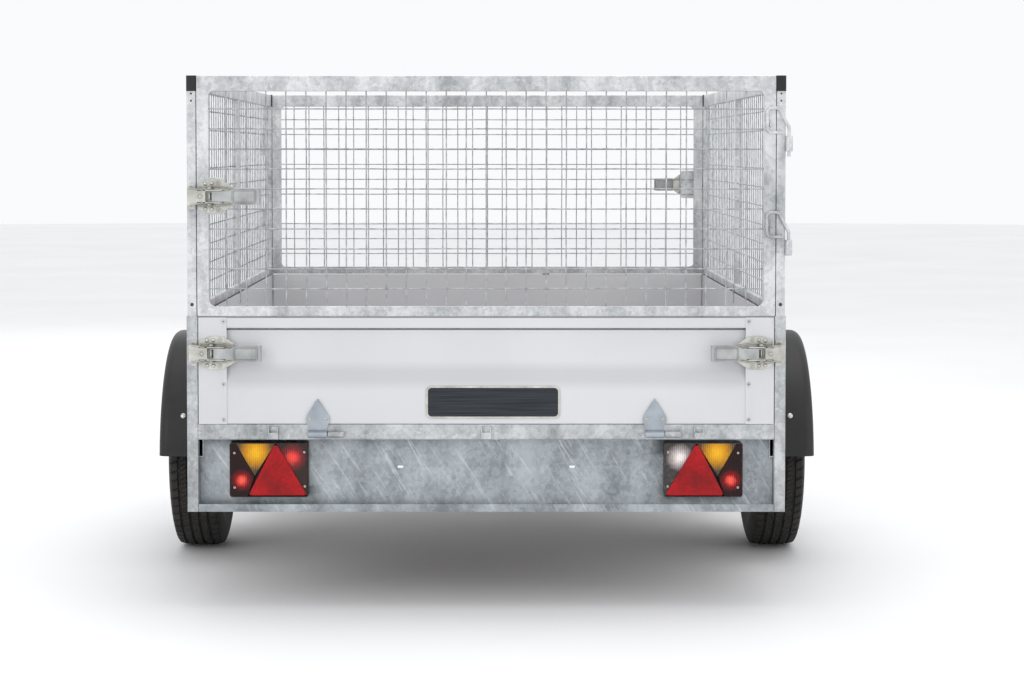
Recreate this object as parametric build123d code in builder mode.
from build123d import *
import math
import os

os.makedirs("parts", exist_ok=True)

# Small single-axle box trailer with a welded-mesh cage for sheep, pigs or calves.
# The row frame: +X is the trailer's right, +Y is forwards to the coupling, +Z is up.
# The ground is z = 0 and the origin is under the middle of the trailer's overall box.
# Everything is in millimetres.

# ---------------------------------------------------------------- driving dimensions
body_width = 1500.0          # over the corner posts
body_length = 2030.0         # over the corner posts, rear face to front face
deck_height = 465.0          # top of the floor and of the sills above the ground
board_top = 734.0            # top edge of the tailgate and of the boards
cage_top = 1337.0            # top of the mesh cage
skirt_bottom = 245.0         # underside of the rear light panel
drawbar_reach = 1090.0       # front posts to the coupling's nose
axle_from_rear = 985.0       # rear posts to the wheel axis
tyre_diameter = 562.0
tyre_width = 145.0
track = 1659.0               # between the tyres' middle planes

# ---------------------------------------------------------------- sections and walls
post = 28.0                  # square lower corner post
post_wall = 2.4
cage_post = 23.0             # square cage post, plugs into the lower post
cage_wall = 1.6
board = 25.0                 # thickness of the hollow tailgate and boards
board_skin = 1.6
end_cap = 71.0               # width of a tailgate end cap
cap_sheet = 2.0
rail_wide = 38.0             # side rail of the chassis
rail_high = 86.0
rail_wall = 3.0
floor_thick = 12.0
cross_high = 40.0
cross_wide = 40.0
sill_high = 36.0
panel_recess = 33.0          # light panel behind the rear face
panel_sheet = 2.5
panel_lip = 19.0             # upturned lip along the panel's lower edge
beam = 70.0                  # square axle beam
beam_wall = 4.0
bar_size = 36.0              # square torsion bar inside the beam
arm_length = 165.0           # pivot to wheel axis
arm_thick = 33.0
drawbar_size = 60.0
drawbar_wall = 3.0

# ---------------------------------------------------------------- gates, mesh and latches
gate_thick = 20.0
gate_stile = 29.5
gate_top_rail = 38.0
gate_bottom_rail = 24.0
gate_wall = 1.6
mesh_pitch = 50.0
wire = 3.5
hinge_bar = 8.6              # round bar of the lift-off hinges
socket_outer = 18.0

# ---------------------------------------------------------------- clearances
side_gap = 1.5               # gate to post, tailgate to post
under_gap = 3.0              # cage over box
plug_clearance = 0.1         # cage post in lower post, each side
running = 0.05               # radial clearance of a pin in its eye
face_gap = 0.5               # parts that pass each other

# ---------------------------------------------------------------- wheels and mudguards
rim_radius = 165.1           # bead seat of a 13 inch rim
rim_width = 114.0
wheel_offset = 30.0          # bolt face outside the wheel's middle plane
bolt_circle = 100.0
wheel_bolt = 12.0
hub_flange = 132.0
hub_body = 84.0
hub_nose = 64.0
spindle = 34.0
guard_radius = 341.0         # inside of the mudguard's arch
guard_sheet = 4.0
guard_width = 159.0
guard_end = 300.0            # height of the arch's two ends
guard_side = 35.0            # depth of the outer side wall
stay_wide = 30.0
stay_thick = 4.0

# ---------------------------------------------------------------- derived places
half_body = body_width / 2
latch_lift = 19.0            # latch pivots above the face they sit on
handle_top = 28.5            # outer face of a closed latch's handle above that face
tailgate_proud = face_gap    # tailgate face behind the posts' face
weld_sink = 0.4              # round bars sunk into what they are welded to
gate_proud = face_gap + weld_sink    # gate face behind the cage posts' face
rear_reach = tailgate_proud + handle_top
overall_length = rear_reach + body_length + drawbar_reach
rear_y = -overall_length / 2 + rear_reach
front_y = rear_y + body_length
axle_y = rear_y + axle_from_rear
axle_z = tyre_diameter / 2
post_inside = half_body - post
post_centre = half_body - post / 2
cage_outside = post_centre + cage_post / 2
cage_inside = post_centre - cage_post / 2
cage_inset = (post - cage_post) / 2          # cage faces inside the posts' faces
cage_bottom = board_top + under_gap
rail_bottom = deck_height - rail_high
drop = rail_bottom - beam / 2 - axle_z       # beam centre above the wheel axis
pivot_y = axle_y + math.sqrt(arm_length ** 2 - drop ** 2)
pivot_z = axle_z + drop
hub_face = track / 2 + wheel_offset
wheel_middle = track / 2
tailgate_half = post_inside - side_gap
gate_half = cage_inside - side_gap
nose_y = front_y + drawbar_reach
cross_bottom = deck_height - floor_thick - cross_high
drawbar_top = cross_bottom
drawbar_bottom = drawbar_top - drawbar_size
drawbar_mid = drawbar_top - drawbar_size / 2


def block(x_span, y_span, z_span, mode=Mode.ADD):
    """Add or cut a box between two limits on each axis, in the part being built."""
    spans = (x_span, y_span, z_span)
    middle = tuple((low + high) / 2 for low, high in spans)
    size = tuple(high - low for low, high in spans)
    with Locations(middle):
        Box(*size, mode=mode)


def rod(point, radius, length, turn=(0, 0, 0), mode=Mode.ADD):
    """Add or cut a round bar with its middle at a point; turn (0, 90, 0) lays it along X."""
    with Locations(Location(point, turn)):
        Cylinder(radius, length, mode=mode)


def save(piece, node):
    """Label a finished piece with its node name and write it."""
    piece.part.label = node
    export_step(piece.part, f"parts/{node}.step")


ALONG_X = (0, 90, 0)
ALONG_Y = (90, 0, 0)
UPRIGHT = (0, 0, 0)
LEFT_RIGHT = (("left", -1), ("right", 1))

# ================================================================ chassis
rail_in = half_body - rail_wide
cross_count = 5
cross_first = rear_y + panel_recess + panel_sheet + face_gap + cross_wide / 2
cross_last = front_y - post - cross_wide / 2
cross_step = (cross_last - cross_first) / (cross_count - 1)
cross_places = [cross_first + cross_step * number for number in range(cross_count)]

with BuildPart() as chassis_frame:
    for side in (-1, 1):
        x_span = sorted((side * rail_in, side * half_body))
        block(x_span, (rear_y + post, front_y - post), (rail_bottom, deck_height))
        hollow = sorted((side * (rail_in + rail_wall), side * (half_body - rail_wall)))
        block(
            hollow,
            (rear_y + post, front_y - post),
            (rail_bottom + rail_wall, deck_height - rail_wall),
            mode=Mode.SUBTRACT,
        )
    for place in cross_places:
        y_span = (place - cross_wide / 2, place + cross_wide / 2)
        block((-rail_in, rail_in), y_span, (cross_bottom, cross_bottom + cross_high))
        block(
            (-rail_in, rail_in),
            (y_span[0] + rail_wall, y_span[1]),
            (cross_bottom + rail_wall, cross_bottom + cross_high - rail_wall),
            mode=Mode.SUBTRACT,
        )
    block((-post_inside, post_inside), (front_y - post, front_y), (cross_bottom, deck_height))
    block(
        (-post_inside, post_inside),
        (front_y - post + rail_wall, front_y - rail_wall),
        (cross_bottom + rail_wall, deck_height - rail_wall),
        mode=Mode.SUBTRACT,
    )
save(chassis_frame, "chassis_frame")

with BuildPart() as floor_board:
    block(
        (-rail_in + face_gap, rail_in - face_gap),
        (rear_y + post + face_gap, front_y - post - face_gap),
        (deck_height - floor_thick, deck_height),
    )
save(floor_board, "floor_board")

# The light panel is one folded sheet: back wall, shelf along the bottom and an upturned lip.
plate_slot_half = 216.5      # half the distance between the number-plate slots
plate_slot_z = 354.0
plate_slot_long = 15.0
plate_slot_high = 6.0
panel_top = deck_height - sill_high

with BuildPart() as light_panel:
    block(
        (-post_inside, post_inside),
        (rear_y + panel_recess, rear_y + panel_recess + panel_sheet),
        (skirt_bottom, panel_top),
    )
    block(
        (-post_inside, post_inside),
        (rear_y, rear_y + panel_recess),
        (skirt_bottom, skirt_bottom + panel_sheet),
    )
    block(
        (-post_inside, post_inside),
        (rear_y, rear_y + panel_sheet),
        (skirt_bottom, skirt_bottom + panel_lip),
    )
    block(
        (-post_inside, post_inside),
        (rear_y + panel_sheet, rear_y + panel_recess + panel_sheet),
        (panel_top - panel_sheet, panel_top),
    )
    for side in (-1, 1):
        notch = sorted((side * (rail_in - face_gap), side * post_inside))
        block(
            notch,
            (rear_y + post, rear_y + panel_recess + panel_sheet),
            (rail_bottom - face_gap, panel_top),
            mode=Mode.SUBTRACT,
        )
    slot_plane = Plane(origin=(0, rear_y + panel_recess, plate_slot_z), x_dir=(1, 0, 0), z_dir=(0, -1, 0))
    with BuildSketch(slot_plane):
        with Locations((-plate_slot_half, 0), (plate_slot_half, 0)):
            SlotOverall(plate_slot_long, plate_slot_high)
    extrude(amount=2 * panel_sheet, both=True, mode=Mode.SUBTRACT)
save(light_panel, "light_panel")

# ================================================================ corner posts
with BuildPart() as lower_posts:
    for side in (-1, 1):
        for place, foot in ((rear_y + post / 2, skirt_bottom), (front_y - post / 2, cross_bottom)):
            with BuildSketch(Plane((side * post_centre, place, foot))):
                Rectangle(post, post)
                Rectangle(post - 2 * post_wall, post - 2 * post_wall, mode=Mode.SUBTRACT)
            extrude(amount=cage_bottom - foot)
save(lower_posts, "lower_posts")

# ================================================================ boards and tailgate
recess_depth = 10.0
recess_top = board_top - 27.0
slope_top = 599.0
slope_foot = 575.0
board_foot = deck_height + 1.0


def board_outline(thick):
    """Points of a board's section: x is out of the face, y is height. The face is at x = 0."""
    return (
        (0, board_foot),
        (0, slope_foot),
        (-recess_depth, slope_top),
        (-recess_depth, recess_top),
        (0, recess_top),
        (0, board_top),
        (-thick, board_top),
        (-thick, board_foot),
    )


def hollow_board(face_point, outward, length, thick):
    """Extrude a hollow board from a point on its face, which looks outward; it runs to its right."""
    section = Plane(origin=face_point, x_dir=outward, z_dir=Vector(outward).cross(Vector(0, 0, 1)))
    with BuildPart() as piece:
        with BuildSketch(section):
            with BuildLine():
                Polyline(*board_outline(thick), close=True)
            make_face()
            offset(amount=-board_skin, mode=Mode.SUBTRACT)
        extrude(amount=length)
    return piece


board_length = body_length - 2 * post - 2 * face_gap
front_half = post_inside - face_gap
rear_end = rear_y + post + face_gap
front_end = front_y - post - face_gap
side_board_left = hollow_board((-half_body, rear_end, 0), (-1, 0, 0), board_length, board)
save(side_board_left, "side_board_left")
side_board_right = hollow_board((half_body, front_end, 0), (1, 0, 0), board_length, board)
save(side_board_right, "side_board_right")
front_board = hollow_board((-front_half, front_y, 0), (0, 1, 0), 2 * front_half, board)
save(front_board, "front_board")

# The tailgate's core is thinner than its caps, so that the cap sheet lies over it.
tuck = 20.0                  # core inside the end caps
core_half = tailgate_half - end_cap + tuck
core_thick = board - 2 * cap_sheet
screw_inset = 63.0           # screws from the cap's outer edge
screw_heights = (724.0, 566.0, 477.0)
screw_head = 4.5
screw_rise = 1.6
tailgate_face = rear_y - tailgate_proud
core_face = tailgate_face + cap_sheet
tailgate_panel = hollow_board((core_half, core_face, 0), (0, -1, 0), 2 * core_half, core_thick)
save(tailgate_panel, "tailgate_panel")

with BuildPart() as tailgate_end_caps:
    for side in (-1, 1):
        outer = side * tailgate_half
        inner = side * (tailgate_half - end_cap)
        web = side * (tailgate_half - cap_sheet)
        y_span = (tailgate_face, tailgate_face + board)
        block(sorted((inner, outer)), y_span, (board_foot, board_top))
        block(
            sorted((inner, web)),
            (y_span[0] + cap_sheet, y_span[1] - cap_sheet),
            (board_foot, board_top),
            mode=Mode.SUBTRACT,
        )
        for height in screw_heights:
            point = (side * (tailgate_half - screw_inset), tailgate_face, height)
            rod(point, screw_head / 2 + running, 3 * cap_sheet, ALONG_Y, Mode.SUBTRACT)
save(tailgate_end_caps, "tailgate_end_caps")

with BuildPart() as tailgate_screws:
    for side in (-1, 1):
        for height in screw_heights:
            across = side * (tailgate_half - screw_inset)
            rod((across, tailgate_face - screw_rise / 2, height), screw_head, screw_rise, ALONG_Y)
            rod((across, tailgate_face + cap_sheet / 2, height), screw_head / 2, cap_sheet, ALONG_Y)
save(tailgate_screws, "tailgate_screws")

# ================================================================ tailgate hinges
hinge_z = 441.0
barrel = 16.0
hinge_pin = 8.0
hinge_y = rear_y - barrel / 2 - face_gap
leaf_sheet = 3.0
leaf_centre = 422.0          # a leaf's middle from the trailer's middle
leaf_knuckle = 50.0
frame_knuckle = 41.0
leaf_tail = 24.0             # half width of a leaf where it rolls round the pin
rivet_radius = 4.5
rivet_tall = 2.0
rivet_half = 20.0
rivet_z = 479.0
leaf_half_outline = ((6, 522), (29.5, 484), (29.5, 477), (24, 458), (24, 449))

with BuildPart() as tailgate_hinge_leaves:
    for middle in (-leaf_centre, leaf_centre):
        leaf_plane = Plane(origin=(middle, tailgate_face, 0), x_dir=(1, 0, 0), z_dir=(0, -1, 0))
        outline = list(leaf_half_outline)
        outline += [(-x, z) for x, z in reversed(leaf_half_outline)]
        with BuildSketch(leaf_plane):
            with BuildLine():
                Polyline(*outline, close=True)
            make_face()
        extrude(amount=leaf_sheet)
        block(
            (middle - leaf_tail, middle + leaf_tail),
            (hinge_y, tailgate_face),
            (hinge_z, hinge_z + barrel / 2),
        )
        rod((middle, hinge_y, hinge_z), barrel / 2, leaf_knuckle, ALONG_X)
        block(
            (middle - leaf_knuckle, middle + leaf_knuckle),
            (rear_y - face_gap, rear_y + barrel),
            (hinge_z - barrel, board_foot - face_gap),
            mode=Mode.SUBTRACT,
        )
        rod((middle, hinge_y, hinge_z), hinge_pin / 2 + running, leaf_knuckle + 2, ALONG_X, Mode.SUBTRACT)
        for across in (-rivet_half, rivet_half):
            point = (middle + across, tailgate_face - leaf_sheet - rivet_tall / 2, rivet_z)
            rod(point, rivet_radius, rivet_tall, ALONG_Y)
save(tailgate_hinge_leaves, "tailgate_hinge_leaves")

with BuildPart() as tailgate_hinge_pins:
    for middle in (-leaf_centre, leaf_centre):
        start = middle + leaf_knuckle / 2 + face_gap
        knuckle = (start + frame_knuckle / 2, hinge_y, hinge_z)
        rod(knuckle, barrel / 2, frame_knuckle, ALONG_X)
        block((start, start + frame_knuckle), (hinge_y, rear_y), (hinge_z - barrel / 2, hinge_z + barrel / 2))
        rod((middle, hinge_y, hinge_z), hinge_pin / 2, leaf_knuckle + 2 * face_gap, ALONG_X)
save(tailgate_hinge_pins, "tailgate_hinge_pins")

# ================================================================ rope hooks on the rear sill
hook_wide = 25.0
hook_sheet = 3.0
hook_gap = 9.0
hook_places = (-533.0, 0.0, 533.0)
hook_top = 460.0
hook_bottom = 430.0
hook_lip = 16.0

with BuildPart() as rear_sill:
    block((-post_inside, post_inside), (rear_y, rear_y + post), (deck_height - sill_high, deck_height))
    block(
        (-post_inside, post_inside),
        (rear_y + panel_sheet, rear_y + post - panel_sheet),
        (deck_height - sill_high + panel_sheet, deck_height - panel_sheet),
        mode=Mode.SUBTRACT,
    )
    for middle in hook_places:
        x_span = (middle - hook_wide / 2, middle + hook_wide / 2)
        outer = rear_y - 2 * hook_sheet - hook_gap
        block(x_span, (rear_y - hook_sheet, rear_y), (hook_bottom, hook_top))
        block(x_span, (outer, rear_y), (hook_bottom, hook_bottom + hook_sheet))
        block(x_span, (outer, outer + hook_sheet), (hook_bottom, hook_bottom + hook_lip))
save(rear_sill, "rear_sill")

# ================================================================ lamps
lamp_wide = 198.0
lamp_high = 137.0
lamp_x = 545.0
lamp_z = 350.0
lamp_wall = 2.5
housing_deep = 26.0
lens_deep = 6.0
lens_sheet = 2.0
bulb_radius = 9.0
lamp_back = rear_y + panel_recess
lamp_front = lamp_back - housing_deep

with BuildPart() as lamp_housings:
    for side in (-1, 1):
        tray = Plane(origin=(side * lamp_x, lamp_back, lamp_z), x_dir=(1, 0, 0), z_dir=(0, -1, 0))
        with BuildSketch(tray):
            RectangleRounded(lamp_wide, lamp_high, 6)
        extrude(amount=housing_deep)
        with BuildSketch(tray.offset(lamp_wall)):
            RectangleRounded(lamp_wide - 2 * lamp_wall, lamp_high - 2 * lamp_wall, 4)
        extrude(amount=housing_deep, mode=Mode.SUBTRACT)
save(lamp_housings, "lamp_housings")

with BuildPart() as lamp_lenses:
    for side in (-1, 1):
        cover = Plane(origin=(side * lamp_x, lamp_front, lamp_z), x_dir=(1, 0, 0), z_dir=(0, -1, 0))
        with BuildSketch(cover):
            RectangleRounded(lamp_wide, lamp_high, 6)
        extrude(amount=lens_deep)
        with BuildSketch(cover):
            RectangleRounded(lamp_wide - 2 * lamp_wall, lamp_high - 2 * lamp_wall, 4)
        extrude(amount=lens_deep - lens_sheet, mode=Mode.SUBTRACT)
save(lamp_lenses, "lamp_lenses")

bulb_spots = ((-62.0, -28.0), (-30.0, 36.0), (62.0, 8.0))

with BuildPart() as lamp_bulbs:
    for side in (-1, 1):
        for across, up in bulb_spots:
            spot = (side * (lamp_x - across), lamp_back - lamp_wall - 6, lamp_z + up)
            rod(spot, bulb_radius * 0.7, 12, ALONG_Y)
            with Locations((spot[0], spot[1] - 6, spot[2])):
                Sphere(bulb_radius * 0.8)
save(lamp_bulbs, "lamp_bulbs")

# ================================================================ cage sides
side_rail_thick = 20.0
side_top_rail = 38.0
side_bottom_rail = 24.0
middle_bar = 25.0
tongue_sheet = 2.0
tongue_foot = 705.0
plug_length = 70.0
head_hole = 2.5              # radius of the pin holes below a cap, and their depths
head_hole_depths = (44.0, 62.0)
foot_hole = 5.0              # radius of the hole above a post's foot, and its height
foot_hole_up = 29.0
cage_rear = rear_y + cage_inset
cage_front = front_y - cage_inset
cap_high = 38.0
cap_wall = 1.2
body_middle = (rear_y + front_y) / 2
foot_slot = 3.5              # spring slot in a rear foot: its upright arm and its level arm
slot_wide = 2.3
slot_low = 6.0
slot_top = 22.3


def hollow_tube(x_span, y_span, z_span, axis, wall):
    """Add a rectangular tube along one axis, open at both ends."""
    spans = [x_span, y_span, z_span]
    block(*spans)
    inner = [span if i == axis else (span[0] + wall, span[1] - wall) for i, span in enumerate(spans)]
    block(*inner, mode=Mode.SUBTRACT)


for name, side in LEFT_RIGHT:
    with BuildPart() as cage_side:
        post_span = sorted((side * cage_inside, side * cage_outside))
        rail_near = side * (post_centre - side_rail_thick / 2)
        rail_span = sorted((rail_near, side * (post_centre + side_rail_thick / 2)))
        run = (cage_rear + cage_post, cage_front - cage_post)
        hollow_tube(rail_span, run, (cage_top - side_top_rail, cage_top), 1, cage_wall)
        hollow_tube(rail_span, run, (cage_bottom, cage_bottom + side_bottom_rail), 1, cage_wall)
        hollow_tube(
            rail_span,
            (body_middle - middle_bar / 2, body_middle + middle_bar / 2),
            (cage_bottom + side_bottom_rail, cage_top - side_top_rail),
            2,
            cage_wall,
        )
        for start in (cage_rear, cage_front - cage_post):
            hollow_tube(
                post_span,
                (start, start + cage_post),
                (cage_bottom - plug_length, cage_top - cap_wall),
                2,
                cage_wall,
            )
        # tongue that grips the inside of the side board at mid length
        inside = half_body - board
        tongue_run = (body_middle - middle_bar / 2, body_middle + middle_bar / 2)
        tongue = sorted((side * (inside - tongue_sheet), side * inside))
        block(tongue, tongue_run, (tongue_foot, cage_bottom + side_bottom_rail))
        joggle = sorted((side * inside, rail_near))
        block(joggle, tongue_run, (cage_bottom, cage_bottom + side_bottom_rail))
        # pin holes below the caps and above the feet, and the spring slot in each rear foot
        for depth in head_hole_depths:
            point = (side * post_centre, cage_rear, cage_top - depth)
            rod(point, head_hole, 4 * cage_wall, ALONG_Y, Mode.SUBTRACT)
        foot_point = (side * post_centre, cage_rear, cage_bottom + foot_hole_up)
        rod(foot_point, foot_hole, 4 * cage_wall, ALONG_Y, Mode.SUBTRACT)
        slot_edge = cage_outside - foot_slot
        block(
            sorted((side * slot_edge, side * (slot_edge - cage_post + 2 * foot_slot))),
            (cage_rear, cage_rear + cage_wall),
            (cage_bottom + slot_top - slot_wide, cage_bottom + slot_top),
            mode=Mode.SUBTRACT,
        )
        block(
            sorted((side * slot_edge, side * (slot_edge - foot_slot))),
            (cage_rear, cage_rear + cage_wall),
            (cage_bottom + slot_low, cage_bottom + slot_top - slot_wide),
            mode=Mode.SUBTRACT,
        )
    save(cage_side, f"cage_side_{name}")

with BuildPart() as post_caps:
    for side in (-1, 1):
        for place in (cage_rear + cage_post / 2, cage_front - cage_post / 2):
            inner = cage_post - 2 * cage_wall - 2 * plug_clearance
            with Locations((side * post_centre, place, cage_top - cap_wall / 2)):
                Box(cage_post, cage_post, cap_wall)
            block(
                (side * post_centre - inner / 2, side * post_centre + inner / 2),
                (place - inner / 2, place + inner / 2),
                (cage_top - cap_high, cage_top - cap_wall),
            )
save(post_caps, "post_caps")


def lattice(across, up):
    """A flat sheet of welded mesh: a rectangle with every square opening that fits, centred."""
    columns = int((across - wire) // mesh_pitch)
    rows = int((up - wire) // mesh_pitch)
    opening = mesh_pitch - wire
    holes = [
        Pos(mesh_pitch * (i - (columns - 1) / 2), mesh_pitch * (j - (rows - 1) / 2))
        * Wire.make_rect(opening, opening)
        for i in range(columns)
        for j in range(rows)
    ]
    return Face(Wire.make_rect(across, up), holes)


mesh_low = cage_bottom + side_bottom_rail
mesh_high = cage_top - side_top_rail
mesh_rear = cage_rear + cage_post
mesh_half_length = (body_length - 2 * cage_inset - 2 * cage_post - middle_bar) / 2

with BuildPart() as side_meshes:
    for side in (-1, 1):
        for start in (mesh_rear, body_middle + middle_bar / 2):
            sheet = Plane(
                origin=(side * post_centre - wire / 2, start + mesh_half_length / 2, (mesh_low + mesh_high) / 2),
                x_dir=(0, 1, 0),
                z_dir=(1, 0, 0),
            )
            with BuildSketch(sheet):
                add(lattice(mesh_half_length, mesh_high - mesh_low))
            extrude(amount=wire)
save(side_meshes, "side_meshes")

# ================================================================ gates and their hinges
gate_low = cage_bottom
gate_high = cage_top
gate_inner_low = gate_low + gate_bottom_rail
gate_inner_high = gate_high - gate_top_rail
socket_sink = 1.3                                  # socket's side inside the post's side plane
hinge_reach = cage_outside + socket_outer / 2 - socket_sink
bar_start = 701.0                                  # weld of the bar on the stile
upper_loop = 1257.0
lower_loop = 997.0
loop_high = 61.0
socket_drop = 69.0                                 # socket's mouth below the loop's top
socket_long = 39.0
upper_pin = 121.0                                  # pin's tip below the loop's top
lower_pin = 106.0
loop_shoulder = 49.0                               # the pin's straight part ends here below the top
loop_lean = 26.0                                   # the sloping side of a loop
loop_gap = 14.0                                    # open end of a loop to the pin
bar_bend = 9.0


def turned(piece):
    """The same piece turned half round the middle of the body, for the front gate."""
    with BuildPart() as copy:
        with Locations(Location((0, 2 * body_middle, 0), (0, 0, 180))):
            add(piece.part)
    return copy


def mirrored(piece):
    """The same piece on the other side of the trailer."""
    with BuildPart() as copy:
        add(piece.part)
        mirror(about=Plane.YZ, mode=Mode.REPLACE)
    return copy


gate_face = cage_rear - gate_proud
gate_y = (gate_face, gate_face + gate_thick)
hinge_axis_y = gate_face - hinge_bar / 2 + weld_sink

with BuildPart() as rear_gate_frame:
    for low, high in ((gate_low, gate_inner_low), (gate_inner_high, gate_high)):
        hollow_tube((-gate_half, gate_half), gate_y, (low, high), 0, gate_wall)
    for side in (-1, 1):
        stile_span = sorted((side * (gate_half - gate_stile), side * gate_half))
        hollow_tube(stile_span, gate_y, (gate_inner_low, gate_inner_high), 2, gate_wall)
    for top, tip in ((upper_loop, upper_pin), (lower_loop, lower_pin)):
        with BuildLine() as route:
            FilletPolyline(
                (hinge_reach, hinge_axis_y, top - tip),
                (hinge_reach, hinge_axis_y, top - loop_shoulder),
                (hinge_reach - loop_lean, hinge_axis_y, top),
                (bar_start, hinge_axis_y, top),
                (bar_start, hinge_axis_y, top - loop_high),
                (hinge_reach - loop_gap, hinge_axis_y, top - loop_high),
                radius=bar_bend,
            )
        with BuildSketch(Plane(route.line @ 0, z_dir=route.line % 0)):
            Circle(hinge_bar / 2)
        sweep(path=route.line)
save(rear_gate_frame, "rear_gate_frame")
save(turned(rear_gate_frame), "front_gate_frame")

with BuildPart() as rear_gate_mesh:
    mesh_middle = (gate_inner_low + gate_inner_high) / 2
    sheet = Plane(
        origin=(0, gate_face + gate_thick / 2 + wire / 2, mesh_middle),
        x_dir=(1, 0, 0),
        z_dir=(0, -1, 0),
    )
    clear_wide = 2 * (gate_half - gate_stile)
    clear_high = gate_inner_high - gate_inner_low
    with BuildSketch(sheet):
        add(lattice(clear_wide, clear_high))
    extrude(amount=wire)
save(rear_gate_mesh, "rear_gate_mesh")
save(turned(rear_gate_mesh), "front_gate_mesh")

# Sockets are short tubes welded to the outer side of the right rear and left front posts.
with BuildPart() as gate_hinge_sockets:
    for top in (upper_loop, lower_loop):
        mouth = top - socket_drop
        middle = (hinge_reach, hinge_axis_y, mouth - socket_long / 2)
        rod(middle, socket_outer / 2, socket_long)
        rod(middle, hinge_bar / 2 + running, socket_long + 2, mode=Mode.SUBTRACT)
    with Locations(Location((0, 2 * body_middle, 0), (0, 0, 180))):
        add(gate_hinge_sockets.part)
save(gate_hinge_sockets, "gate_hinge_sockets")

# ================================================================ over-centre latches
# Every latch is drawn in its own frame: u runs from the gate's edge to its middle,
# v runs out of the gate's face, and w runs along the edge.
latch_u = 34.0               # lever pivot from the gate's edge
toggle_reach = 29.0          # lever pivot to link pivot
lever_sheet = 3.0
lever_inside = 10.0          # half width between the lever's cheeks
lever_round = 6.5            # radius round the lever's and the link's pivots
cheek_end = 75.0
handle_half = 21.0
handle_start = 41.0
handle_narrow_end = 84.0
handle_wide_start = 96.0
handle_end = 160.0
handle_curl = 14.0           # how far the handle's end turns back towards the face
base_sheet = 2.5
base_start = 4.0
base_end = 95.0
wing_half = 42.0
wing_edge = 33.0             # half height of the wings at the gate's edge
wing_rise = 28.0             # the wings have their full height between these two
wing_fall = 63.0
plate_gap = 1.0              # between the flat plates that pass each other
arm_sheet = 3.0
arm_inside = lever_inside + lever_sheet + plate_gap
ear_inside = arm_inside + arm_sheet + plate_gap
ear_sheet = 3.0
ear_round = 7.0
link_u = latch_u + toggle_reach
link_pin = 3.0
lever_pin = 3.5
arm_low = latch_lift + lever_pin + 0.7
claw_sheet = 4.0
claw_top = 28.0
claw_end = 25.0              # the claw's inner edge
claw_half = 22.0
keeper_u = -14.0
keeper_v = 12.0
keeper_pin = 4.0
keeper_half = 20.0
keeper_lug = 4.0
keeper_plate = (-21.0, -4.0)
keeper_sheet = 1.5
rivet_head = 4.0
rivet_rise = 1.5
wing_rivets = ((38.0, 30.0), (22.0, 28.0))
claw_lip = 2.0
lip_low = keeper_v / 2


def latch_planes(edge, face_y, height, inward, outward):
    """Side plane (x = u, y = v) and face plane (x = u, z = v) of a latch."""
    origin = (edge, face_y, height)
    side_plane = Plane(origin=origin, x_dir=(inward, 0, 0), z_dir=(0, 0, inward * outward))
    face_plane = Plane(origin=origin, x_dir=(inward, 0, 0), z_dir=(0, outward, 0))
    return side_plane, face_plane


def latch_base(side_plane, face_plane):
    """Riveted plate with two rhomb wings, and two ears that hold the lever's pivot pin."""
    with BuildPart() as piece:
        with BuildSketch(face_plane):
            for up in (-1, 1):
                with BuildLine():
                    Polyline(
                        (base_start, 0),
                        (base_start, up * wing_edge),
                        (wing_rise, up * wing_half),
                        (wing_fall, up * wing_half),
                        (base_end, up * handle_half),
                        (base_end, 0),
                        close=True,
                    )
                make_face()
        extrude(amount=base_sheet)
        for up in (-1, 1):
            with BuildSketch(side_plane.offset(up * (ear_inside + ear_sheet / 2))):
                with Locations((latch_u, latch_lift / 2)):
                    Rectangle(2 * ear_round, latch_lift)
                with Locations((latch_u, latch_lift)):
                    Circle(ear_round)
            extrude(amount=ear_sheet / 2, both=True)
            with BuildSketch(face_plane.offset(base_sheet)):
                for along, across in wing_rivets:
                    with Locations((along, up * across)):
                        Circle(rivet_head)
            extrude(amount=rivet_rise)
        with BuildSketch(side_plane):
            with Locations((latch_u, latch_lift)):
                Circle(lever_pin)
        extrude(amount=ear_inside + ear_sheet, both=True)
    return piece


def latch_lever(side_plane, face_plane):
    """Pressed lever: a channel with two cheeks that carry both pivots, widening to the handle."""
    cheek_low = latch_lift - lever_round
    with BuildPart() as piece:
        for up in (-1, 1):
            with BuildSketch(side_plane.offset(up * (lever_inside + lever_sheet / 2))):
                with Locations(((latch_u + cheek_end) / 2, (cheek_low + handle_top) / 2)):
                    Rectangle(cheek_end - latch_u, handle_top - cheek_low)
                with Locations((latch_u, latch_lift)):
                    Circle(lever_round)
                    Circle(lever_pin + running, mode=Mode.SUBTRACT)
            extrude(amount=lever_sheet / 2, both=True)
        with BuildSketch(face_plane.offset(handle_top - lever_sheet)):
            narrow = lever_inside + lever_sheet
            with BuildLine():
                Polyline(
                    (handle_start, -narrow),
                    (handle_narrow_end, -narrow),
                    (handle_wide_start, -handle_half),
                    (handle_end, -handle_half),
                    (handle_end, handle_half),
                    (handle_wide_start, handle_half),
                    (handle_narrow_end, narrow),
                    (handle_start, narrow),
                    close=True,
                )
            make_face()
        extrude(amount=lever_sheet)
        with BuildSketch(side_plane):
            with Locations((handle_end - lever_sheet / 2, handle_top - handle_curl / 2)):
                Rectangle(lever_sheet, handle_curl)
        extrude(amount=handle_half, both=True)
        with BuildSketch(side_plane):
            with Locations((link_u, latch_lift)):
                Circle(link_pin)
        extrude(amount=arm_inside + arm_sheet + face_gap, both=True)
    return piece


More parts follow.
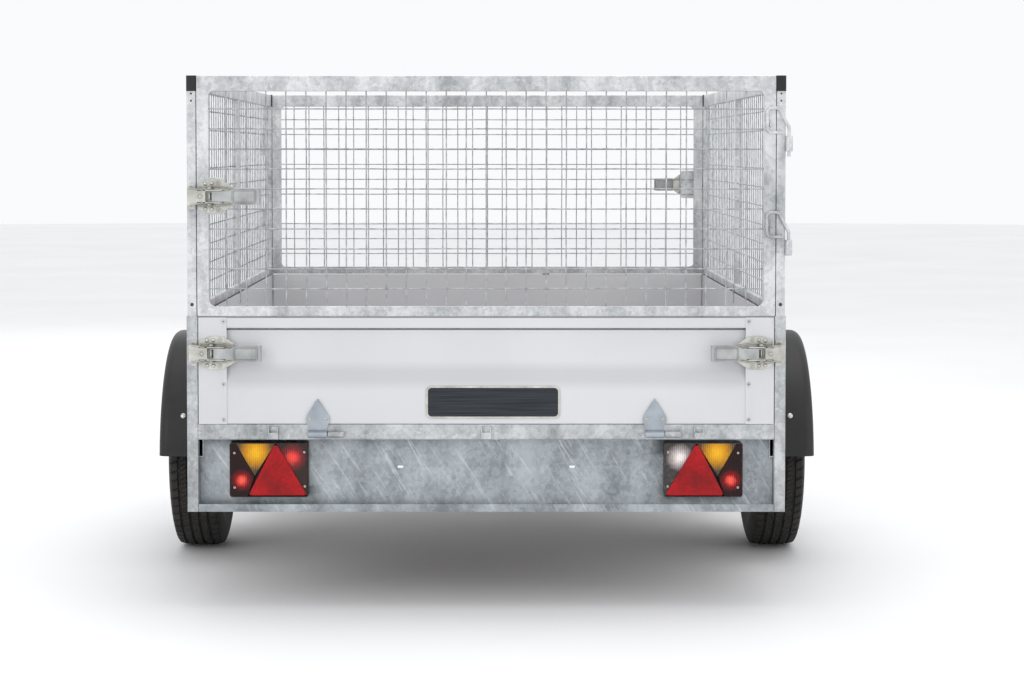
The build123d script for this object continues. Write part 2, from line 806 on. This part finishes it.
def latch_link(side_plane, face_plane):
    """Claw plate on two arms outside the lever's cheeks, with a lip that drops behind the keeper."""
    tip = keeper_u - keeper_pin - face_gap
    arm_outside = arm_inside + arm_sheet
    with BuildPart() as piece:
        with BuildSketch(face_plane.offset(claw_top - claw_sheet)):
            with BuildLine():
                Polyline(
                    (claw_end, -arm_outside),
                    (0, -claw_half),
                    (tip - claw_lip, -claw_half),
                    (tip - claw_lip, claw_half),
                    (0, claw_half),
                    (claw_end, arm_outside),
                    close=True,
                )
            make_face()
        extrude(amount=claw_sheet)
        for up in (-1, 1):
            with BuildSketch(side_plane.offset(up * (arm_inside + arm_sheet / 2))):
                with Locations(((link_u + lever_round) / 2, (arm_low + claw_top) / 2)):
                    Rectangle(link_u + lever_round, claw_top - arm_low)
                with Locations((link_u, (latch_lift + claw_top) / 2)):
                    Rectangle(2 * lever_round, claw_top - latch_lift)
                with Locations((link_u, latch_lift)):
                    Circle(lever_round)
                    Circle(link_pin + running, mode=Mode.SUBTRACT)
            extrude(amount=arm_sheet / 2, both=True)
        with BuildSketch(side_plane):
            with Locations((tip - claw_lip / 2, (lip_low + claw_top) / 2)):
                Rectangle(claw_lip, claw_top - lip_low)
        extrude(amount=keeper_half - keeper_lug - claw_lip, both=True)
    return piece


def latch_keeper(side_plane, face_plane, gap):
    """Pin on two lugs and a plate, welded to the post, whose face is a gap behind the gate's."""
    with BuildPart() as piece:
        with BuildSketch(side_plane):
            with Locations((keeper_u, keeper_v)):
                Circle(keeper_pin)
        extrude(amount=keeper_half, both=True)
        for up in (-1, 1):
            with BuildSketch(side_plane.offset(up * (keeper_half - keeper_lug / 2))):
                with Locations((keeper_u, (keeper_v - gap) / 2)):
                    Rectangle(2 * keeper_pin, keeper_v + gap)
            extrude(amount=keeper_lug / 2, both=True)
        with BuildSketch(face_plane.offset(-gap)):
            with Locations((sum(keeper_plate) / 2, 0)):
                Rectangle(keeper_plate[1] - keeper_plate[0], 2 * wing_edge)
        extrude(amount=keeper_sheet)
    return piece


tailgate_latch_z = 645.0
gate_latch_z = 1037.0
tailgate_planes = {
    "left": latch_planes(-tailgate_half, tailgate_face, tailgate_latch_z, 1, -1),
    "right": latch_planes(tailgate_half, tailgate_face, tailgate_latch_z, -1, -1),
}
gate_planes = latch_planes(-gate_half, gate_face, gate_latch_z, 1, -1)

with BuildPart() as tailgate_latch_bases:
    add(latch_base(*tailgate_planes["left"]).part)
    add(latch_base(*tailgate_planes["right"]).part)
save(tailgate_latch_bases, "tailgate_latch_bases")

for name, side in LEFT_RIGHT:
    save(latch_lever(*tailgate_planes[name]), f"tailgate_lever_{name}")
    save(latch_link(*tailgate_planes[name]), f"tailgate_link_{name}")

gate_base = latch_base(*gate_planes)
gate_lever = latch_lever(*gate_planes)
gate_link = latch_link(*gate_planes)
save(gate_base, "rear_gate_latch_base")
save(gate_lever, "rear_gate_lever")
save(gate_link, "rear_gate_link")
save(turned(gate_base), "front_gate_latch_base")
save(turned(gate_lever), "front_gate_lever")
save(turned(gate_link), "front_gate_link")

with BuildPart() as latch_keepers:
    add(latch_keeper(*tailgate_planes["left"], tailgate_proud).part)
    add(latch_keeper(*tailgate_planes["right"], tailgate_proud).part)
    add(latch_keeper(*gate_planes, gate_proud).part)
    with Locations(Location((0, 2 * body_middle, 0), (0, 0, 180))):
        add(latch_keeper(*gate_planes, gate_proud).part)
save(latch_keepers, "latch_keepers")

# ================================================================ axle, arms and hubs
beam_half = half_body - rail_wide - 12.0
bar_long = 220.0
cord_radius = 7.4
cord_inset = beam / 2 - beam_wall - cord_radius

with BuildPart() as axle_beam:
    hollow_tube(
        (-beam_half, beam_half),
        (pivot_y - beam / 2, pivot_y + beam / 2),
        (pivot_z - beam / 2, pivot_z + beam / 2),
        0,
        beam_wall,
    )
save(axle_beam, "axle_beam")

with BuildPart() as torsion_rubbers:
    for side in (-1, 1):
        for back in (-1, 1):
            for up in (-1, 1):
                middle = (
                    side * (beam_half - bar_long / 2 - 5),
                    pivot_y + back * cord_inset,
                    pivot_z + up * cord_inset,
                )
                rod(middle, cord_radius, bar_long - 10, ALONG_X)
save(torsion_rubbers, "torsion_rubbers")

arm_inner = beam_half + 1.0
arm_outer = arm_inner + arm_thick
spindle_tip = hub_face + 20.0

with BuildPart() as arm_right:
    arm_plane = Plane(origin=(arm_inner, 0, 0), x_dir=(0, 1, 0), z_dir=(1, 0, 0))
    with BuildSketch(arm_plane):
        with Locations((pivot_y, pivot_z)):
            Circle(33)
        with Locations((axle_y, axle_z)):
            Circle(29)
        make_hull()
    extrude(amount=arm_thick)
    with BuildSketch(arm_plane):
        with Locations(Location((pivot_y, pivot_z), 45)):
            Rectangle(bar_size, bar_size)
    extrude(amount=-(bar_long + 1))
    rod(
        ((arm_outer + spindle_tip) / 2, axle_y, axle_z),
        spindle / 2,
        spindle_tip - arm_outer,
        ALONG_X,
    )
save(arm_right, "arm_right")
save(mirrored(arm_right), "arm_left")

wheel_axis = Axis((0, axle_y, axle_z), (1, 0, 0))
wheel_section = Plane(origin=(0, axle_y, axle_z), x_dir=(1, 0, 0), z_dir=(0, -1, 0))
hub_start = arm_outer + 4.0
flange_thick = 10.0
cap_end = spindle_tip + 14.0

with BuildPart() as hub_right:
    with BuildSketch(wheel_section):
        with BuildLine():
            Polyline(
                (hub_start, spindle / 2 + running),
                (hub_start, hub_body / 2),
                (hub_face - flange_thick, hub_body / 2),
                (hub_face - flange_thick, hub_flange / 2),
                (hub_face, hub_flange / 2),
                (hub_face, hub_nose / 2),
                (cap_end - 8, hub_nose / 2 - 3),
                (cap_end, hub_nose / 2 - 12),
                (cap_end, 0),
                (spindle_tip + 3, 0),
                (spindle_tip + 3, spindle / 2 + running),
                close=True,
            )
        make_face()
    revolve(axis=wheel_axis)
    bolt_plane = Plane(origin=(hub_face, axle_y, axle_z), x_dir=(0, 1, 0), z_dir=(1, 0, 0))
    with BuildSketch(bolt_plane):
        with PolarLocations(bolt_circle / 2, 4):
            Circle(wheel_bolt / 2)
    extrude(amount=-flange_thick, mode=Mode.SUBTRACT)
save(hub_right, "hub_right")
save(mirrored(hub_right), "hub_left")

disc_sheet = 3.5
flange_radius = rim_radius + 14.0
with BuildPart() as rim_right:
    with BuildSketch(wheel_section):
        with BuildLine() as barrel_line:
            Polyline(
                (wheel_middle - rim_width / 2 - 3, flange_radius),
                (wheel_middle - rim_width / 2, rim_radius - 1.5),
                (wheel_middle - rim_width / 2 + 22, rim_radius - 4),
                (wheel_middle - rim_width / 2 + 32, rim_radius - 22),
                (wheel_middle + rim_width / 2 - 36, rim_radius - 22),
                (wheel_middle + rim_width / 2 - 24, rim_radius - 4),
                (wheel_middle + rim_width / 2, rim_radius - 1.5),
                (wheel_middle + rim_width / 2 + 3, flange_radius),
            )
            offset(amount=-3, side=Side.RIGHT)
        make_face()
    revolve(axis=wheel_axis)
    with BuildSketch(wheel_section):
        with BuildLine():
            Polyline(
                (hub_face, hub_nose / 2 + 1),
                (hub_face, 62),
                (hub_face + 16, 84),
                (hub_face + 16, 110),
                (hub_face - 14, rim_radius - 24),
                (hub_face - 14 + disc_sheet, rim_radius - 24),
                (hub_face + 16 + disc_sheet, 112),
                (hub_face + 16 + disc_sheet, 82),
                (hub_face + disc_sheet, 60),
                (hub_face + disc_sheet, hub_nose / 2 + 1),
                close=True,
            )
        make_face()
    revolve(axis=wheel_axis)
    with BuildSketch(bolt_plane):
        with PolarLocations(bolt_circle / 2, 4):
            Circle(wheel_bolt / 2)
        with PolarLocations(97, 10):
            Circle(7)
    extrude(amount=30, mode=Mode.SUBTRACT)
save(rim_right, "rim_right")
save(mirrored(rim_right), "rim_left")

tyre_skin = 9.0
half_tread = tyre_width / 2 - 16
bead_half = rim_width / 2 - 1
with BuildPart() as tyre_right:
    with BuildSketch(wheel_section):
        with BuildLine():
            Polyline(
                (wheel_middle - bead_half, rim_radius),
                (wheel_middle - bead_half - 3.5, rim_radius + 16),
                (wheel_middle - tyre_width / 2, rim_radius + 58),
                (wheel_middle - tyre_width / 2 + 4, rim_radius + 86),
                (wheel_middle - half_tread, tyre_diameter / 2 - 3),
                (wheel_middle, tyre_diameter / 2),
                (wheel_middle + half_tread, tyre_diameter / 2 - 3),
                (wheel_middle + tyre_width / 2 - 4, rim_radius + 86),
                (wheel_middle + tyre_width / 2, rim_radius + 58),
                (wheel_middle + bead_half + 3.5, rim_radius + 16),
                (wheel_middle + bead_half, rim_radius),
                (wheel_middle + bead_half - tyre_skin, rim_radius),
                (wheel_middle + bead_half - tyre_skin, rim_radius + 16),
                (wheel_middle + tyre_width / 2 - tyre_skin, rim_radius + 58),
                (wheel_middle + half_tread - tyre_skin, tyre_diameter / 2 - 3 - tyre_skin),
                (wheel_middle - half_tread + tyre_skin, tyre_diameter / 2 - 3 - tyre_skin),
                (wheel_middle - tyre_width / 2 + tyre_skin, rim_radius + 58),
                (wheel_middle - bead_half + tyre_skin, rim_radius + 16),
                (wheel_middle - bead_half + tyre_skin, rim_radius),
                close=True,
            )
        make_face()
    revolve(axis=wheel_axis)
save(tyre_right, "tyre_right")
save(mirrored(tyre_right), "tyre_left")

with BuildPart() as wheel_bolts_right:
    with BuildSketch(bolt_plane.offset(disc_sheet)):
        with PolarLocations(bolt_circle / 2, 4):
            RegularPolygon(11, 6)
    extrude(amount=14)
    with BuildSketch(bolt_plane.offset(disc_sheet)):
        with PolarLocations(bolt_circle / 2, 4):
            Circle(wheel_bolt / 2)
    extrude(amount=-(disc_sheet + flange_thick))
save(wheel_bolts_right, "wheel_bolts_right")
save(mirrored(wheel_bolts_right), "wheel_bolts_left")

# ================================================================ mudguards and stays
guard_gap = 6.0              # mudguard to the posts' outer faces
guard_inner_x = half_body + guard_gap
guard_outer_x = guard_inner_x + guard_width
shoulder = 24.0
guard_plane = Plane(origin=(guard_inner_x, axle_y, axle_z), x_dir=(0, 1, 0), z_dir=(1, 0, 0))

with BuildPart() as mudguard_right:
    with BuildSketch(guard_plane):
        Circle(guard_radius + guard_sheet)
    extrude(amount=guard_width)
    fillet(mudguard_right.edges().sort_by(Axis.X)[-1], radius=shoulder)
    with BuildSketch(guard_plane.offset(-1)):
        Circle(guard_radius)
    extrude(amount=guard_width - guard_sheet - shoulder + 1, mode=Mode.SUBTRACT)
    with BuildSketch(guard_plane.offset(guard_width - guard_sheet - shoulder)):
        Circle(guard_radius)
    with BuildSketch(guard_plane.offset(guard_width - guard_sheet)):
        Circle(guard_radius - shoulder + guard_sheet)
    loft(mode=Mode.SUBTRACT)
    with BuildSketch(guard_plane):
        Circle(guard_radius - guard_side)
    extrude(amount=guard_width, mode=Mode.SUBTRACT)
    block(
        (guard_inner_x - 5, guard_outer_x + 5),
        (axle_y - 2 * guard_radius, axle_y + 2 * guard_radius),
        (axle_z - 2 * guard_radius, guard_end),
        mode=Mode.SUBTRACT,
    )
save(mudguard_right, "mudguard_right")
save(mirrored(mudguard_right), "mudguard_left")

stay_angles = (22.0, 90.0, 158.0)
with BuildPart() as mudguard_stays:
    for side in (-1, 1):
        for angle in stay_angles:
            radial = (math.cos(math.radians(angle)), math.sin(math.radians(angle)))
            stay_plane = Plane(
                origin=(side * half_body, axle_y, axle_z),
                x_dir=(0, radial[0], radial[1]),
                z_dir=(side, 0, 0),
            )
            reach = guard_outer_x - half_body - shoulder - 20
            with BuildSketch(stay_plane):
                with Locations((guard_radius - stay_thick / 2 - face_gap, 0)):
                    Rectangle(stay_thick, stay_wide)
            extrude(amount=reach)
            with BuildSketch(stay_plane):
                with Locations((guard_radius + 6, 0)):
                    Rectangle(36, stay_wide)
            extrude(amount=stay_thick)
save(mudguard_stays, "mudguard_stays")

# ================================================================ drawbar and coupling
coupling_long = 230.0
ball_radius = 25.0
cup_wall = 6.0
ball_back = 42.0             # ball centre behind the coupling's nose
drawbar_start = pivot_y + beam / 2
drawbar_end = nose_y - coupling_long + 120.0
jockey_x = 80.0
jockey_y = front_y + 520.0
outer_tube = 48.0
inner_tube = 40.0
tube_wall = 2.5

with BuildPart() as drawbar:
    hollow_tube(
        (-drawbar_size / 2, drawbar_size / 2),
        (drawbar_start, drawbar_end),
        (drawbar_bottom, drawbar_top),
        1,
        drawbar_wall,
    )
    block((drawbar_size / 2, jockey_x), (jockey_y - 30, jockey_y + 30), (drawbar_bottom + 12, drawbar_top - 2))
    rod((jockey_x, jockey_y, drawbar_mid), outer_tube / 2 + 6, 46)
    rod((jockey_x, jockey_y, drawbar_mid), outer_tube / 2 + plug_clearance, 90, mode=Mode.SUBTRACT)
save(drawbar, "drawbar")

ball_y = nose_y - ball_back
ball_z = drawbar_mid
head_sheet = 4.0
head_half = drawbar_size / 2 + head_sheet
handle_pivot_y = ball_y - 40.0
handle_pivot_z = drawbar_top + head_sheet + 12.0

with BuildPart() as coupling_head:
    block((-head_half, head_half), (nose_y - coupling_long, ball_y), (drawbar_bottom + 6, drawbar_top + head_sheet))
    block(
        (-head_half + head_sheet, head_half - head_sheet),
        (nose_y - coupling_long, drawbar_end + face_gap),
        (drawbar_bottom - 1, drawbar_top),
        mode=Mode.SUBTRACT,
    )
    rod((0, ball_y, ball_z + 2), ball_back, drawbar_size - 16)
    with Locations((0, ball_y, ball_z)):
        Sphere(ball_radius + 0.5, mode=Mode.SUBTRACT)
    rod((0, ball_y, ball_z - 25), ball_radius + 0.5, 50, mode=Mode.SUBTRACT)
    rod((0, handle_pivot_y, handle_pivot_z), 5 - running, 46, ALONG_X)
    for side in (-1, 1):
        block(
            sorted((side * 16, side * 21)),
            (handle_pivot_y - 12, handle_pivot_y + 12),
            (drawbar_top + head_sheet, handle_pivot_z + 8),
        )
save(coupling_head, "coupling_head")

with BuildPart() as coupling_lever:
    with BuildSketch(Plane.YZ):
        with BuildLine():
            Polyline(
                (handle_pivot_y + 8, handle_pivot_z - 9),
                (handle_pivot_y + 8, handle_pivot_z + 8),
                (handle_pivot_y - 120, handle_pivot_z + 16),
                (handle_pivot_y - 120, handle_pivot_z + 8),
                (handle_pivot_y - 20, handle_pivot_z - 5),
                close=True,
            )
        make_face()
    extrude(amount=15, both=True)
    rod((0, handle_pivot_y, handle_pivot_z), 5, 40, ALONG_X, Mode.SUBTRACT)
save(coupling_lever, "coupling_lever")

# ================================================================ jockey wheel
jockey_radius = 100.0
jockey_tyre = 50.0
jockey_trail = 30.0
jockey_travel = 130.0
crown_z = 2 * jockey_radius + 6
crown_sheet = 10.0
inner_low = crown_z + crown_sheet + 1.0
outer_low = inner_low + jockey_travel + 3.0
outer_high = 640.0
inner_high = outer_high - jockey_travel - 30.0
screw = 12.0

with BuildPart() as jockey_outer_tube:
    rod((jockey_x, jockey_y, (outer_low + outer_high) / 2), outer_tube / 2, outer_high - outer_low)
    rod(
        (jockey_x, jockey_y, (outer_low + outer_high) / 2),
        outer_tube / 2 - tube_wall,
        outer_high - outer_low,
        mode=Mode.SUBTRACT,
    )
save(jockey_outer_tube, "jockey_outer_tube")

with BuildPart() as jockey_inner_tube:
    rod((jockey_x, jockey_y, (inner_low + inner_high) / 2), inner_tube / 2, inner_high - inner_low)
    rod(
        (jockey_x, jockey_y, (inner_low + inner_high) / 2 + 10),
        screw / 2 + 0.3,
        inner_high - inner_low,
        mode=Mode.SUBTRACT,
    )
save(jockey_inner_tube, "jockey_inner_tube")

with BuildPart() as jockey_crank:
    rod((jockey_x, jockey_y, outer_high + 5), outer_tube / 2 - 4, 8)
    screw_low = inner_low + jockey_travel + 15
    rod((jockey_x, jockey_y, (outer_high + 5 + screw_low) / 2), screw / 2, outer_high + 5 - screw_low)
    block((jockey_x - 8, jockey_x + 140), (jockey_y - 8, jockey_y + 8), (outer_high + 5, outer_high + 11))
    rod((jockey_x + 128, jockey_y, outer_high + 40), 11, 60)
save(jockey_crank, "jockey_crank")

with BuildPart() as jockey_fork:
    rod((jockey_x, jockey_y, crown_z + crown_sheet / 2), 30, crown_sheet)
    for side in (-1, 1):
        leg = sorted((jockey_x + side * (jockey_tyre / 2 + 2), jockey_x + side * (jockey_tyre / 2 + 7)))
        leg_plane = Plane(origin=(leg[0], 0, 0), x_dir=(0, 1, 0), z_dir=(1, 0, 0))
        with BuildSketch(leg_plane):
            with BuildLine():
                Polyline(
                    (jockey_y - 14, crown_z + crown_sheet),
                    (jockey_y + 14, crown_z + crown_sheet),
                    (jockey_y - jockey_trail + 14, jockey_radius - 16),
                    (jockey_y - jockey_trail - 14, jockey_radius - 16),
                    close=True,
                )
            make_face()
        extrude(amount=leg[1] - leg[0])
    rod((jockey_x, jockey_y - jockey_trail, jockey_radius), 6, jockey_tyre + 16, ALONG_X)
save(jockey_fork, "jockey_fork")

with BuildPart() as jockey_wheel:
    rod((jockey_x, jockey_y - jockey_trail, jockey_radius), jockey_radius, jockey_tyre, ALONG_X)
    fillet(jockey_wheel.edges().filter_by(GeomType.CIRCLE), radius=10)
    for side in (-1, 1):
        rod(
            (jockey_x + side * jockey_tyre / 2, jockey_y - jockey_trail, jockey_radius),
            jockey_radius * 0.66,
            jockey_tyre * 0.6,
            ALONG_X,
            Mode.SUBTRACT,
        )
    rod((jockey_x, jockey_y - jockey_trail, jockey_radius), 16, jockey_tyre, ALONG_X)
    rod((jockey_x, jockey_y - jockey_trail, jockey_radius), 6 + running, jockey_tyre + 2, ALONG_X, Mode.SUBTRACT)
save(jockey_wheel, "jockey_wheel")
